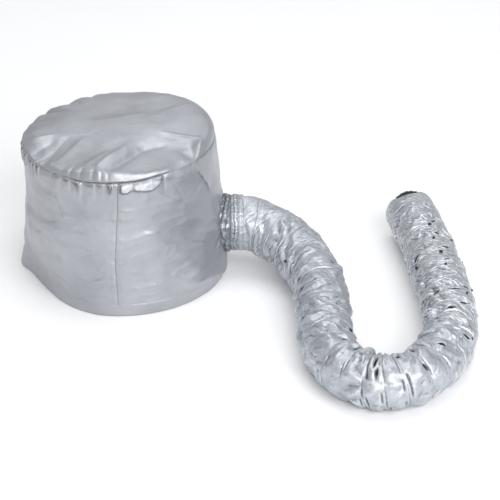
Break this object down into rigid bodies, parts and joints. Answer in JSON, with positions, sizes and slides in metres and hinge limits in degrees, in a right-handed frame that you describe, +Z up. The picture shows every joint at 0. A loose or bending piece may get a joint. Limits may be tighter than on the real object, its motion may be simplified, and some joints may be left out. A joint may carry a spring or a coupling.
{
  "type": "hood hair dryer bonnet",
  "caption": "Soft gathered hood with an elastic rim, fed through a flexible film and wire hose whose cuff slips over a hand dryer.",
  "frame": {"origin": "centre of the hood's rim, on the surface that the hood stands on", "axes": "+Z up through the crown, +X from the hood's axis out through the hose inlet, the front seam at -Y"},
  "size_m": [0.6095, 0.5278, 0.222],
  "materials": {
    "hood_cloth": "satin",
    "hose_film": "metallised",
    "black_film": "satin",
    "cuff_cloth": "matte",
    "elastic": "matte",
    "thread": "matte",
    "wire": "coated"
  },
  "bodies": {
    "hood": {"crown_panel": "hood_cloth", "side_panel_left": "hood_cloth", "side_panel_right": "hood_cloth", "hem_casing": "hood_cloth", "hem_elastic": "elastic", "crown_seam_thread": "thread", "front_seam_thread": "thread", "back_seam_thread": "thread", "hem_thread": "thread", "port_seam_thread": "thread"},
    "inlet": {"inlet_collar": "hood_cloth", "collar_thread": "thread"},
    "hose": {"collar_band": "hose_film", "band_thread": "thread", "hose_outer_film": "hose_film", "hose_wire": "wire", "hose_inner_film": "black_film"},
    "cuff": {"dryer_cuff": "cuff_cloth", "cuff_elastic": "elastic", "cuff_thread": "thread"}
  },
  "joints": [
    {"name": "hose_swing", "type": "hinge", "parent": "hood", "child": "inlet", "pos_m": [0.148, 0, 0.066], "axis": [0, 0, 1], "range_deg": [-15, 15], "deforming": ["inlet_collar"]},
    {"name": "hose_lift", "type": "hinge", "parent": "inlet", "child": "hose", "pos_m": [0.148, 0, 0.066], "axis": [0, -1, 0], "range_deg": [0, 15], "deforming": ["collar_thread"]},
    {"name": "hose_stretch", "type": "slide", "parent": "hose", "child": "cuff", "axis": [-0.1483, 0.9889, 0], "range_m": [-0.04, 0.06], "deforming": ["hose_outer_film", "hose_wire", "hose_inner_film"]}
  ]
}
